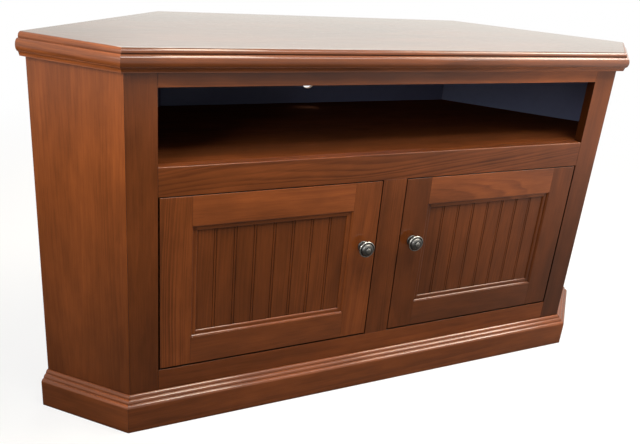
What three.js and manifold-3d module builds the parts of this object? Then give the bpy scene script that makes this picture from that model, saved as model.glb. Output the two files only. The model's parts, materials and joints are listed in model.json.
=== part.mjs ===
import * as THREE from "three";
import { mergeVertices } from "three/addons/utils/BufferGeometryUtils.js";
import Module from "manifold-3d";

// Corner tv cabinet in stained solid wood, made to stand in the corner of a room.
// Millimetres, +Z up. In plan the front face lies on y = 0, the room is at -Y and the cabinet
// narrows towards +Y. At the end the whole cabinet is moved so that its origin is on the floor
// under the middle of its overall box.

// Carcass
const cabinetHeight = 686;
const frontWidth = 1000;
const cantedSideWidth = 178;
const wallSideWidth = 380;
const wallAngle = Math.PI / 4;
const frameThickness = 20;
const sideThickness = 19;
const backThickness = 9;
const shelfThickness = 19;
const jointGap = 0.3;

// Face frame
const stileWidth = 51;
const centreStileWidth = 51;
const bottomRailWidth = 51;
const midRailWidth = 51;
const topRailWidth = 35;
const floorToOpening = 109.5;
const mediaBayHeight = 129;

// Top board with its routed edge: a small round above a step, and a full nose below it
const topThickness = 27;
const topSetback = 6;
const edgeRoundWidth = 7.2;
const edgeRoundHeight = 7.2;
const edgeStepWidth = 0.6;
const edgeStepHeight = 2.2;
const noseWidth = 6.9;
const noseHeight = 10.8;

// Cove moulding under the top board
const coveTopReach = 18.6;
const coveBottomReach = 14;
const coveTopLip = 1.2;
const coveHeight = 6.5;
const coveFoot = 2;
const coveFootStep = 0.7;

// Plinth board with three reeds that step back to the carcass
const plinthReach = 20;
const plinthFaceHeight = 50;
const reedCount = 3;
const reedHeight = 6.2;

// Doors
const doorThickness = 20;
const hingeSideGap = 3;
const doorGap = 2;
const doorBottomGap = 3.5;
const doorMemberFace = 55;
const stickingQuirk = 0.8;
const ovoloWidth = 3;
const ovoloDepth = 3.4;
const filletWidth = 5;
const innerRoundWidth = 3;
const innerRoundDepth = 2.8;
const panelThickness = 7;
const grooveDepth = 10;
const grooveFloorGap = 0.7;
const panelPlay = 1;
const beadPitch = 36.8;
const beadWidth = 6;
const quirkWidth = 1.1;
const quirkDepth = 1.6;
const beadDrop = 0.2;

// Knobs
const knobBelowDoorTop = 130;
const knobBaseRadius = 10.4;
const knobBaseHeight = 2.4;
const knobNeckRadius = 5.2;
const knobRadius = 16.5;
const knobRimHeight = 4.2;
const knobUndersideHeight = 15;
const knobGrooveRadius = 13.6;
const knobGrooveDepth = 1.8;
const knobDomeRadius = 12.8;
const knobButtonRadius = 5.4;
const knobHeight = 26;
const knobButtonHeight = 1.9;
const knobStepDepth = 0.7;
const knobBoreDepth = 11;
const knobScrewRadius = 2;
const knobScrewHeadRadius = 4.4;
const knobScrewHeadHeight = 2.4;

// Concealed hinges: a cup in the door, a pin across it, a cranked arm and its mounting plate
const hingeFromDoorEnd = 75;
const cupRadius = 17.5;
const cupWall = 1;
const cupDepth = 13;
const cupRimRadius = 18.8;
const cupRimThickness = 1.2;
const hingePinRadius = 1.5;
const hingeEyeRadius = 3.2;
const hingeAxisInset = 27.5;
const armThickness = 3;
const armWidth = 10;
const neckAngle = THREE.MathUtils.degToRad(37.5);
const neckBend = 3;
const neckClearance = 1.4;
const elbowRadius = 4;
const armReach = 40;
const plateThickness = 2.5;
const plateStart = 12;
const plateLength = 34;
const plateRailWidth = 12;
const plateWingWidth = 46;
const plateWingLength = 16;
const plateScrewPitch = 32;
const plateScrewRadius = 2.2;
const postThickness = 19;
const postDepth = 70;

// Inside
const partitionThickness = 18;
const shelfSetback = 75;
const shelfPlay = 2;
const shelfRise = 178;
const cleatWidth = 19;
const cleatHeight = 19;
const cleatInset = 14;

// Cable hole in the back of the media bay
const cableHoleRadius = 16;
const cableHoleOffset = -18;
const cableHoleRise = 49;

// How finely round shapes are cut, and how far a cutter runs past what it cuts
const roundSides = 32;
const smallSides = 14;
const arcSteps = 6;
const overrun = 5;
const weldTolerance = 1e-4;

// Heights worked out from the sizes above
const topUnderside = cabinetHeight - topThickness;
const mediaBayTop = topUnderside - topRailWidth;
const mediaShelfTop = mediaBayTop - mediaBayHeight;
const doorOpeningTop = mediaShelfTop - midRailWidth;
const mediaShelfUnderside = mediaShelfTop - shelfThickness;
const bottomPanelUnderside = floorToOpening - shelfThickness;
const doorBottom = floorToOpening + doorBottomGap;
const doorTop = doorOpeningTop - doorGap;
const plinthHeight = plinthFaceHeight + reedCount * reedHeight;

// Widths and depths worked out from the sizes above
const carcassDepth = (cantedSideWidth + wallSideWidth) * Math.sin(wallAngle);
const openingLeft = stileWidth - frontWidth / 2;
const doorOpeningWidth = -openingLeft - centreStileWidth / 2;
const doorLeft = openingLeft + hingeSideGap;
const doorWidth = doorOpeningWidth - hingeSideGap - doorGap;
const doorRight = doorLeft + doorWidth;
const stickingWidth = ovoloWidth + filletWidth + innerRoundWidth;
const stickingDepth = stickingQuirk + ovoloDepth + innerRoundDepth;
const doorMemberWidth = doorMemberFace + stickingWidth;
const grooveWidth = panelThickness + 2 * jointGap;
const grooveStart = doorMemberWidth - grooveDepth;
const insideFront = frameThickness + jointGap;
const backInside = carcassDepth - backThickness;

const wasm = await Module();
wasm.setup();

const wood = new THREE.MeshStandardMaterial({ color: 0x86452a, roughness: 0.42, metalness: 0 });
const paleWood = new THREE.MeshStandardMaterial({ color: 0x9a5a34, roughness: 0.6, metalness: 0 });
const panelWood = new THREE.MeshStandardMaterial({ color: 0x6b331c, roughness: 0.5, metalness: 0 });
const pewter = new THREE.MeshStandardMaterial({ color: 0x77736c, roughness: 0.38, metalness: 0.85 });
const steel = new THREE.MeshStandardMaterial({ color: 0xb9bbbe, roughness: 0.3, metalness: 0.9 });

const cabinet = new THREE.Group();

const point = (x, y) => new THREE.Vector2(x, y);

// A straight edge of the plan: it holds the points p with normal . p <= reach.
function edge(x, y, reach) {
  return { normal: point(x, y), reach };
}

const sideReach = (frontWidth / 2) * Math.sin(wallAngle);
const wallReach = sideReach + cantedSideWidth;
const across = Math.sin(wallAngle);
const along = Math.cos(wallAngle);
const front = edge(0, -1, 0);
const rightSide = edge(across, -along, sideReach);
const rightWall = edge(along, across, wallReach);
const back = edge(0, 1, carcassDepth);
const leftWall = edge(-along, across, wallReach);
const leftSide = edge(-across, -along, sideReach);

const moved = (line, distance) => ({ normal: line.normal, reach: line.reach + distance });
const opposite = (line) => ({ normal: line.normal.clone().negate(), reach: -line.reach });

function meet(a, b) {
  const turn = a.normal.cross(b.normal);
  const x = (a.reach * b.normal.y - b.reach * a.normal.y) / turn;
  const y = (a.normal.x * b.reach - b.normal.x * a.reach) / turn;
  return point(x, y);
}

// The mitre between two neighbouring edges, kept half a joint gap on the first one's side.
function mitre(own, other) {
  const normal = other.normal.clone().sub(own.normal);
  const length = normal.length();
  return { normal: normal.divideScalar(length), reach: (other.reach - own.reach) / length - jointGap / 2 };
}

// The six corners of the plan, with each kind of edge moved out by its own distance.
function planCorners({ exposed = 0, wall = 0, rear = 0 }) {
  const lines = [
    moved(front, exposed),
    moved(rightSide, exposed),
    moved(rightWall, wall),
    moved(back, rear),
    moved(leftWall, wall),
    moved(leftSide, exposed),
  ];
  return lines.map((line, i) => meet(line, lines[(i + 1) % lines.length]));
}

// Cuts a convex outline down to the points that lie inside every given edge.
function clip(corners, ...lines) {
  let kept = corners;
  for (const line of lines) {
    const next = [];
    kept.forEach((from, i) => {
      const to = kept[(i + 1) % kept.length];
      const fromOver = line.normal.dot(from) - line.reach;
      const toOver = line.normal.dot(to) - line.reach;
      if (fromOver <= 0) next.push(from);
      if (fromOver < 0 !== toOver < 0) next.push(from.clone().lerp(to, fromOver / (fromOver - toOver)));
    });
    kept = next;
  }
  return kept;
}

const rectangle = (x0, y0, x1, y1) => [point(x0, y0), point(x1, y0), point(x1, y1), point(x0, y1)];

function upright(outline, bottom, top) {
  const shape = new THREE.Shape(outline);
  const solid = new THREE.ExtrudeGeometry(shape, { depth: top - bottom, bevelEnabled: false });
  return solid.translate(0, 0, bottom);
}

// A section drawn in (y, z) and run along x.
function crosswise(section, left, right) {
  const run = upright(section, left, right);
  const xToY = new THREE.Vector3(0, 1, 0);
  const yToZ = new THREE.Vector3(0, 0, 1);
  const zToX = new THREE.Vector3(1, 0, 0);
  return run.applyMatrix4(new THREE.Matrix4().makeBasis(xToY, yToZ, zToX));
}

function box(x0, x1, y0, y1, z0, z1) {
  return upright(rectangle(x0, y0, x1, y1), z0, z1);
}

// A turned piece: its profile gives radius and depth along +Y.
function turned(profile, sides = roundSides) {
  return new THREE.LatheGeometry(profile, sides);
}

const rod = (radius, from, to, sides = smallSides) =>
  turned([point(0, from), point(radius, from), point(radius, to), point(0, to)], sides);

// Joins rings of equal count into a closed skin, capped at its two ends.
function skin(rings, capOutline) {
  const flip = THREE.ShapeUtils.isClockWise(capOutline);
  const outline = flip ? [...capOutline].reverse() : capOutline;
  const ordered = flip ? rings.map((ring) => [...ring].reverse()) : rings;
  const count = outline.length;
  const last = (ordered.length - 1) * count;
  const index = [];
  for (let ring = 0; ring < last; ring += count) {
    for (let j = 0; j < count; j += 1) {
      const here = ring + j;
      const next = ring + ((j + 1) % count);
      index.push(here, next, next + count, here, next + count, here + count);
    }
  }
  for (const [a, b, c] of THREE.ShapeUtils.triangulateShape(outline, [])) {
    index.push(c, b, a, last + a, last + b, last + c);
  }
  const geometry = new THREE.BufferGeometry().setFromPoints(ordered.flat());
  geometry.setIndex(index);
  return geometry;
}

// A moulding of (reach, z) profile along one edge of the plan, from one cut to the other.
function moulding(profile, line, startCut, endCut) {
  const ring = (cut) =>
    profile.map((spot) => {
      const place = meet(moved(line, spot.x), cut);
      return new THREE.Vector3(place.x, place.y, spot.y);
    });
  return skin([ring(startCut), ring(endCut)], profile);
}

// A quarter of an ellipse that leaves its start level and ends steep.
function quarterRound(x, y, width, depth) {
  return Array.from({ length: arcSteps + 1 }, (_, i) => {
    const turn = (i / arcSteps) * (Math.PI / 2);
    return point(x + width * Math.sin(turn), y + depth * (1 - Math.cos(turn)));
  });
}

function asSolid(geometry) {
  const bare = geometry.clone();
  bare.deleteAttribute("normal");
  bare.deleteAttribute("uv");
  const welded = mergeVertices(bare, weldTolerance);
  const vertProperties = welded.attributes.position.array;
  const triVerts = new Uint32Array(welded.index.array);
  return new wasm.Manifold(new wasm.Mesh({ numProp: 3, vertProperties, triVerts }));
}

function asGeometry(solid) {
  const { vertProperties, triVerts } = solid.getMesh();
  const geometry = new THREE.BufferGeometry();
  geometry.setAttribute("position", new THREE.BufferAttribute(vertProperties, 3));
  return geometry.setIndex(new THREE.BufferAttribute(triVerts, 1));
}

function cut(geometry, ...cutters) {
  const solid = cutters.reduce((body, cutter) => body.subtract(asSolid(facedOut(cutter))), asSolid(facedOut(geometry)));
  return asGeometry(solid);
}

function join(geometry, ...others) {
  const solid = others.reduce((body, other) => body.add(asSolid(facedOut(other))), asSolid(facedOut(geometry)));
  return asGeometry(solid);
}

// Turns a closed mesh right side out, if its faces point inwards.
function facedOut(geometry) {
  const flat = geometry.index ? geometry.toNonIndexed() : geometry.clone();
  const places = flat.attributes.position;
  const corner = (i) => new THREE.Vector3().fromBufferAttribute(places, i);
  let volume = 0;
  for (let i = 0; i < places.count; i += 3) volume += corner(i).dot(corner(i + 1).cross(corner(i + 2)));
  if (volume > 0) return flat;
  for (let i = 0; i < places.count; i += 3) {
    const second = corner(i + 1);
    const third = corner(i + 2);
    places.setXYZ(i + 1, third.x, third.y, third.z);
    places.setXYZ(i + 2, second.x, second.y, second.z);
  }
  return flat;
}

function add(name, geometry, material) {
  const faced = facedOut(geometry);
  faced.deleteAttribute("uv");
  faced.computeVertexNormals();
  const mesh = new THREE.Mesh(faced, material);
  mesh.name = name;
  cabinet.add(mesh);
  return mesh;
}

// Adds a left piece and its mirror image on the right.
function addPair(name, geometry, material) {
  add(`left_${name}`, geometry, material);
  add(`right_${name}`, geometry, material).scale.x = -1;
}

// Top board: rings of the plan stacked up the routed edge
function topBoard() {
  const shoulder = topSetback + edgeRoundWidth;
  const noseRoot = shoulder + edgeStepWidth;
  const noseTop = cabinetHeight - edgeRoundHeight - edgeStepHeight;
  const noseMiddle = noseTop - noseHeight;
  const lowTurn = Math.asin((noseMiddle - topUnderside) / noseHeight);
  const profile = [];
  for (let i = 0; i <= 2 * arcSteps; i += 1) {
    const turn = THREE.MathUtils.lerp(-lowTurn, Math.PI / 2, i / (2 * arcSteps));
    profile.push(point(noseRoot + noseWidth * Math.cos(turn), noseMiddle + noseHeight * Math.sin(turn)));
  }
  profile.push(point(shoulder, noseTop));
  const round = quarterRound(topSetback, 0, edgeRoundWidth, edgeRoundHeight).reverse();
  for (const spot of round) profile.push(point(spot.x, cabinetHeight - spot.y));
  const rings = profile.map(({ x, y }) =>
    planCorners({ exposed: x }).map((corner) => new THREE.Vector3(corner.x, corner.y, y)),
  );
  return skin(rings, planCorners({}));
}
add("top_panel", topBoard(), wood);

// Cove moulding under the top board, mitred at the two front corners
function coveProfile() {
  const top = topUnderside - jointGap;
  const coveTop = top - coveTopLip;
  const coveBottom = coveTop - coveHeight;
  const hollow = quarterRound(0, 0, coveHeight, coveTopReach - coveBottomReach);
  return [
    point(jointGap, top),
    point(coveTopReach, top),
    ...hollow.reverse().map(({ x, y }) => point(coveBottomReach + y, coveBottom + x)),
    point(coveBottomReach - coveFootStep, coveBottom),
    point(coveBottomReach - coveFootStep, coveBottom - coveFoot),
    point(jointGap, coveBottom - coveFoot),
  ];
}
add("front_top_moulding", moulding(coveProfile(), front, mitre(front, leftSide), mitre(front, rightSide)), wood);
addPair("top_moulding", moulding(coveProfile(), leftSide, mitre(leftSide, front), leftWall), wood);

// Plinth boards with the reeded upper edge, mitred at the two front corners
function plinthProfile() {
  const reedWidth = (plinthReach - jointGap) / reedCount;
  const outline = [point(jointGap, 0), point(plinthReach, 0)];
  for (let reed = 0; reed < reedCount; reed += 1) {
    const outer = plinthReach - (reed + 1) * reedWidth;
    const base = plinthFaceHeight + reed * reedHeight;
    const round = quarterRound(0, 0, reedWidth, reedHeight).reverse();
    for (const { x, y } of round) outline.push(point(outer + x, base + reedHeight - y));
  }
  return outline;
}
add("front_plinth", moulding(plinthProfile(), front, mitre(front, leftSide), mitre(front, rightSide)), wood);
addPair("plinth", moulding(plinthProfile(), leftSide, mitre(leftSide, front), leftWall), wood);

// Face frame: two outer stiles bevelled against the canted sides, a centre stile and three rails
const carcassTop = topUnderside - jointGap;
const frameBack = opposite(moved(front, -frameThickness));
const stileEdge = edge(1, 0, openingLeft);
const stileOutline = clip(planCorners({}), mitre(front, leftSide), frameBack, stileEdge);
addPair("stile", upright(stileOutline, 0, carcassTop), wood);

function rail(left, right, bottom, top) {
  return box(left + jointGap, right - jointGap, 0, frameThickness, bottom, top);
}
add("top_rail", rail(openingLeft, -openingLeft, mediaBayTop, carcassTop), wood);
add("mid_rail", rail(openingLeft, -openingLeft, doorOpeningTop, mediaShelfTop), wood);
add("bottom_rail", rail(openingLeft, -openingLeft, floorToOpening - bottomRailWidth, floorToOpening), wood);

const centreStileHalf = centreStileWidth / 2;
const centreStileBottom = floorToOpening + jointGap;
const centreStileTop = doorOpeningTop - jointGap;
const centreStile = box(-centreStileHalf, centreStileHalf, 0, frameThickness, centreStileBottom, centreStileTop);
add("centre_stile", centreStile, wood);

// Canted side panels, and the three thin back panels
const sideOutline = clip(planCorners({}), mitre(leftSide, front), opposite(moved(leftSide, -sideThickness)));
addPair("side_panel", upright(sideOutline, 0, carcassTop), wood);

const wallPanelStart = moved(leftSide, -sideThickness - jointGap);
const wallOutline = clip(
  planCorners({}),
  wallPanelStart,
  opposite(moved(leftWall, -backThickness)),
  mitre(leftWall, back),
);
addPair("wall_panel", upright(wallOutline, 0, carcassTop), paleWood);

const backOutline = clip(
  planCorners({}),
  opposite(moved(back, -backThickness)),
  mitre(back, leftWall),
  mitre(back, rightWall),
);
const cableHole = rod(cableHoleRadius, backInside - overrun, carcassDepth + overrun, roundSides);
cableHole.translate(cableHoleOffset, 0, mediaShelfTop + cableHoleRise);
add("back_panel", cut(upright(backOutline, 0, carcassTop), cableHole), paleWood);

// Boards inside: all of them follow the inner faces of the sides and backs
const interior = clip(
  planCorners({ exposed: -sideThickness - jointGap, wall: -backThickness - jointGap, rear: -backThickness - jointGap }),
  edge(0, -1, -insideFront),
);
add("media_shelf", upright(interior, mediaShelfUnderside, mediaShelfTop), wood);
add("bottom_panel", upright(interior, bottomPanelUnderside, floorToOpening), paleWood);

const compartmentBottom = floorToOpening + jointGap;
const compartmentTop = mediaShelfUnderside - jointGap;
const partitionHalf = partitionThickness / 2;
const partitionBack = backInside - jointGap;
const partition = box(
  -partitionHalf,
  partitionHalf,
  insideFront,
  partitionBack,
  compartmentBottom,
  compartmentTop,
);
add("centre_partition", partition, paleWood);

const shelfBottom = floorToOpening + shelfRise;
const shelfFront = insideFront + shelfSetback;
const shelfOutline = clip(
  planCorners({
    exposed: -sideThickness - shelfPlay,
    wall: -backThickness - shelfPlay,
    rear: -backThickness - shelfPlay,
  }),
  edge(0, -1, -shelfFront),
  edge(1, 0, -partitionHalf - shelfPlay),
);
addPair("shelf", upright(shelfOutline, shelfBottom, shelfBottom + shelfThickness), paleWood);

const cleatTop = shelfBottom - jointGap;
const cleatFront = shelfFront + cleatInset;
const partitionCleatLeft = -partitionHalf - jointGap - cleatWidth;
const partitionCleat = rectangle(partitionCleatLeft, cleatFront, partitionCleatLeft + cleatWidth, backInside - cleatInset);
addPair("partition_cleat", upright(partitionCleat, cleatTop - cleatHeight, cleatTop), paleWood);

const wallCleat = clip(
  planCorners({ exposed: -sideThickness - cleatInset, wall: -backThickness - jointGap, rear: -backThickness - cleatInset }),
  opposite(moved(leftWall, -backThickness - jointGap - cleatWidth)),
  edge(0, -1, -cleatFront),
  edge(1, 0, -partitionHalf),
);
addPair("wall_cleat", upright(wallCleat, cleatTop - cleatHeight, cleatTop), paleWood);

const hingePost = box(
  openingLeft - postThickness,
  openingLeft,
  insideFront,
  insideFront + postDepth,
  compartmentBottom,
  compartmentTop,
);
addPair("hinge_post", hingePost, paleWood);

// Door members share one section: a flat face, the sticking, the panel groove and a back lip.
// The section is drawn from the outer edge inwards, with its depth from the front face.
function memberSection() {
  const ovolo = quarterRound(doorMemberFace, stickingQuirk, ovoloWidth, ovoloDepth);
  const innerStart = doorMemberFace + ovoloWidth + filletWidth;
  const innerRound = quarterRound(innerStart, stickingQuirk + ovoloDepth, innerRoundWidth, innerRoundDepth);
  return [
    point(0, 0),
    point(doorMemberFace, 0),
    ...ovolo,
    ...innerRound,
    point(grooveStart, stickingDepth),
    point(grooveStart, stickingDepth + grooveWidth),
    point(doorMemberWidth, stickingDepth + grooveWidth),
    point(doorMemberWidth, doorThickness),
    point(0, doorThickness),
  ];
}

function doorStile(place) {
  return upright(memberSection().map(({ x, y }) => point(place(x), y)), doorBottom, doorTop);
}
const hingeStile = doorStile((inward) => doorLeft + inward);
const latchStile = doorStile((inward) => doorRight - inward);

// The rails are coped: their ends are cut by the stiles, with a joint gap on every side.
function doorRail(place) {
  const section = memberSection().map(({ x, y }) => point(y, place(x)));
  const start = doorLeft + doorMemberFace + jointGap;
  const end = doorRight - doorMemberFace - jointGap;
  const blank = crosswise(section, start, end);
  return cut(
    blank,
    hingeStile.clone().translate(jointGap, 0, 0),
    hingeStile.clone().translate(0, jointGap, 0),
    hingeStile.clone().translate(0, -jointGap, 0),
    latchStile.clone().translate(-jointGap, 0, 0),
    latchStile.clone().translate(0, jointGap, 0),
    latchStile.clone().translate(0, -jointGap, 0),
  );
}

// Beadboard panel: a row of round beads, each between two quirks
function beadboard() {
  const inset = grooveStart + panelPlay;
  const left = doorLeft + inset;
  const right = doorRight - inset;
  const face = stickingDepth + jointGap;
  const middle = (left + right) / 2;
  const sight = doorWidth / 2 - doorMemberWidth;
  const beadsEachWay = Math.floor(sight / beadPitch);
  const outline = [point(left, face)];
  for (let bead = -beadsEachWay; bead <= beadsEachWay; bead += 1) {
    const centre = middle + bead * beadPitch;
    const halfBead = beadWidth / 2;
    const crown = halfBead - quirkWidth;
    outline.push(point(centre - halfBead, face), point(centre - halfBead + quirkWidth / 2, face + quirkDepth));
    for (let i = 0; i <= arcSteps; i += 1) {
      const turn = (i / arcSteps) * Math.PI;
      const rise = (quirkDepth / 2) * Math.sin(turn);
      outline.push(point(centre - crown * Math.cos(turn), face + beadDrop + quirkDepth / 2 - rise));
    }
    outline.push(point(centre + halfBead - quirkWidth / 2, face + quirkDepth), point(centre + halfBead, face));
  }
  outline.push(point(right, face), point(right, face + panelThickness), point(left, face + panelThickness));
  return upright(outline, doorBottom + inset, doorTop - inset);
}

// Hinge geometry in plan. The pin stands across the middle of the cup.
const hingeAxisX = openingLeft + hingeAxisInset;
const hingeAxisY = doorThickness - cupDepth + cupWall + hingeEyeRadius + jointGap;
const hingeHeights = { lower: doorBottom + hingeFromDoorEnd, upper: doorTop - hingeFromDoorEnd };

function cupBore() {
  const floor = doorThickness - cupDepth - jointGap;
  const ledge = doorThickness - cupRimThickness - jointGap;
  return turned([
    point(0, floor),
    point(cupRadius + jointGap, floor),
    point(cupRadius + jointGap, ledge),
    point(cupRimRadius + jointGap, ledge),
    point(cupRimRadius + jointGap, doorThickness + overrun),
    point(0, doorThickness + overrun),
  ]);
}

function hingeCup() {
  const floor = doorThickness - cupDepth;
  const shell = turned([
    point(0, floor),
    point(cupRadius, floor),
    point(cupRadius, doorThickness - cupRimThickness),
    point(cupRimRadius, doorThickness - cupRimThickness),
    point(cupRimRadius, doorThickness),
    point(cupRadius - cupWall, doorThickness),
    point(cupRadius - cupWall, floor + cupWall),
    point(0, floor + cupWall),
  ]);
  const pinHole = rod(hingePinRadius + jointGap, -cupRimRadius, cupRimRadius).rotateX(Math.PI / 2);
  return cut(shell, pinHole.translate(0, hingeAxisY, 0));
}

function hingePin() {
  const halfLength = cupRadius - jointGap;
  return rod(hingePinRadius, -halfLength, halfLength).rotateX(Math.PI / 2).translate(0, hingeAxisY, 0);
}

// The arm leaves the pin through the mouth of the cup, rounds the door's swept corner, crosses to
// the post and runs back along it.
function armPath() {
  const pin = point(hingeAxisX, hingeAxisY);
  const corner = point(doorLeft, 0).distanceTo(pin);
  const neckRadius = corner + neckClearance + armThickness / 2;
  const tailX = openingLeft + jointGap + plateThickness + jointGap + armThickness / 2;
  const crossY = pin.y + neckRadius;
  const outward = point(Math.cos(neckAngle), Math.sin(neckAngle));
  const bendCentreReach = Math.sqrt((neckRadius - neckBend) ** 2 - neckBend ** 2);
  const side = point(-outward.y, outward.x);
  const bendStart = pin.clone().addScaledVector(outward, bendCentreReach);
  const bendCentre = bendStart.clone().addScaledVector(side, neckBend);
  const joinAngle = Math.atan2(bendCentre.y - pin.y, bendCentre.x - pin.x);
  const path = new THREE.Path();
  path.moveTo(pin.x, pin.y);
  path.lineTo(bendStart.x, bendStart.y);
  path.absarc(bendCentre.x, bendCentre.y, neckBend, neckAngle - Math.PI / 2, joinAngle, false);
  path.absarc(pin.x, pin.y, neckRadius, joinAngle, Math.PI / 2, false);
  path.absarc(tailX + elbowRadius, crossY + elbowRadius, elbowRadius, -Math.PI / 2, -Math.PI, true);
  path.lineTo(tailX, crossY + armReach);
  return path.getPoints(arcSteps + 2);
}

// A strip of even width along a path of points.
function strip(path, width) {
  const sideOf = (i) => {
    const before = path[Math.max(i - 1, 0)];
    const after = path[Math.min(i + 1, path.length - 1)];
    const run = after.clone().sub(before).normalize();
    return point(-run.y, run.x).multiplyScalar(width / 2);
  };
  const left = path.map((spot, i) => spot.clone().add(sideOf(i)));
  const right = path.map((spot, i) => spot.clone().sub(sideOf(i)));
  return [...left, ...right.reverse()];
}

function hingeArm() {
  const path = armPath().filter((spot, i, all) => i === 0 || spot.distanceTo(all[i - 1]) > jointGap);
  const half = armWidth / 2;
  const band = upright(strip(path, armThickness), -half, half);
  const eye = rod(hingeEyeRadius, -half, half, roundSides).rotateX(Math.PI / 2);
  const hole = rod(hingePinRadius + jointGap, -armWidth, armWidth).rotateX(Math.PI / 2);
  eye.translate(hingeAxisX, hingeAxisY, 0);
  hole.translate(hingeAxisX, hingeAxisY, 0);
  return cut(join(band, eye), hole);
}

function hingePlate() {
  const left = openingLeft + jointGap;
  const start = insideFront + plateStart + plateWingLength;
  const middle = start + plateLength / 2;
  const halfWing = plateWingLength / 2;
  const spine = rectangle(start, -plateRailWidth / 2, start + plateLength, plateRailWidth / 2);
  const wings = rectangle(middle - halfWing, -plateWingWidth / 2, middle + halfWing, plateWingWidth / 2);
  const plate = join(
    crosswise(spine, left, left + plateThickness),
    crosswise(wings, left, left + plateThickness),
  );
  const holes = [-1, 1].map((end) =>
    rod(plateScrewRadius, 0, plateThickness + overrun)
      .rotateZ(-Math.PI / 2)
      .translate(left - overrun / 2, middle, (end * plateScrewPitch) / 2),
  );
  return cut(plate, ...holes);
}

// Each door: hinge stile bored for its cups, latch stile drilled for the knob's screw
const knobX = doorRight - doorMemberFace / 2;
const knobZ = doorTop - knobBelowDoorTop;
const cupBores = Object.values(hingeHeights).map((z) => cupBore().translate(hingeAxisX, 0, z));
const knobHole = rod(knobScrewRadius + jointGap, -overrun, doorThickness + overrun).translate(knobX, 0, knobZ);
addPair("door_hinge_stile", cut(hingeStile, ...cupBores), wood);
addPair("door_latch_stile", cut(latchStile, knobHole), wood);
addPair("door_top_rail", doorRail((inward) => doorTop - inward), wood);
addPair("door_bottom_rail", doorRail((inward) => doorBottom + inward), wood);
addPair("door_beadboard", beadboard(), panelWood);

for (const [level, z] of Object.entries(hingeHeights)) {
  addPair(`${level}_hinge_cup`, hingeCup().translate(hingeAxisX, 0, z), steel);
  addPair(`${level}_hinge_pin`, hingePin().translate(hingeAxisX, 0, z), steel);
  addPair(`${level}_hinge_arm`, hingeArm().translate(0, 0, z), steel);
  addPair(`${level}_hinge_plate`, hingePlate().translate(0, 0, z), steel);
}

// Knob: a small base, a waist, and a wide disc with a raised rim round a stepped dome.
// Its profile gives radius and height off the door, so the depth is negative.
function knob() {
  const rimTop = knobUndersideHeight + knobRimHeight;
  const grooveFloor = rimTop - knobGrooveDepth;
  const buttonRoot = knobHeight - knobButtonHeight;
  const rimRadius = knobRimHeight / 2;
  const rim = Array.from({ length: arcSteps + 1 }, (_, i) => {
    const turn = THREE.MathUtils.lerp(-Math.PI / 2, Math.PI / 2, i / arcSteps);
    return point(knobRadius - rimRadius + rimRadius * Math.cos(turn), rimTop - rimRadius + rimRadius * Math.sin(turn));
  });
  const stepRadius = knobButtonRadius + knobStepDepth;
  const dome = quarterRound(stepRadius, 0, knobDomeRadius - stepRadius, buttonRoot - grooveFloor).reverse();
  const button = quarterRound(0, 0, knobButtonRadius, knobButtonHeight).reverse();
  const profile = [
    point(0, knobBoreDepth),
    point(knobScrewRadius + jointGap, knobBoreDepth),
    point(knobScrewRadius + jointGap, jointGap),
    point(knobBaseRadius, jointGap),
    point(knobBaseRadius, knobBaseHeight - knobStepDepth),
    point(knobBaseRadius - knobStepDepth, knobBaseHeight),
    point(knobNeckRadius + knobStepDepth, knobBaseHeight + knobStepDepth),
    ...waist(knobBaseHeight + knobStepDepth, knobUndersideHeight),
    ...rim,
    point(knobGrooveRadius, rimTop - knobStepDepth),
    point(knobGrooveRadius, grooveFloor),
    ...dome.map(({ x, y }) => point(x, buttonRoot - y)),
    point(knobButtonRadius, buttonRoot - knobStepDepth),
    ...button.map(({ x, y }) => point(x, knobHeight - y)),
  ];
  return turned(profile.map(({ x, y }) => point(x, -y)));
}

// The neck of the knob, hollowed between its base and the underside of the disc.
function waist(from, to) {
  return Array.from({ length: arcSteps + 1 }, (_, i) => {
    const share = i / arcSteps;
    const flare = (knobRadius - knobRimHeight / 2 - knobNeckRadius) * share ** 3;
    return point(knobNeckRadius + flare, THREE.MathUtils.lerp(from, to, share));
  }).slice(0, -1);
}
addPair("knob", knob().translate(knobX, 0, knobZ), pewter);

function knobScrew() {
  const seat = doorThickness + jointGap;
  const tip = jointGap - knobBoreDepth;
  return turned(
    [
      point(0, tip),
      point(knobScrewRadius, tip),
      point(knobScrewRadius, seat),
      point(knobScrewHeadRadius, seat),
      ...quarterRound(0, 0, knobScrewHeadRadius, knobScrewHeadHeight)
        .reverse()
        .map(({ x, y }) => point(x, seat + knobScrewHeadHeight - y)),
    ],
    smallSides,
  );
}
addPair("knob_screw", knobScrew().translate(knobX, 0, knobZ), steel);

// Origin on the floor, under the middle of the overall box
const frontReach = knobHeight;
cabinet.position.y = (frontReach - carcassDepth) / 2;

export default cabinet;
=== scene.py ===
"""Corner tv cabinet: stained wood, painted backs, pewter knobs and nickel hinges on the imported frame."""

import json
import math
import random
from typing import NamedTuple

import bmesh
import bpy
from bpy.props import FloatProperty, FloatVectorProperty, PointerProperty
from mathutils import Matrix, Vector

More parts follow.
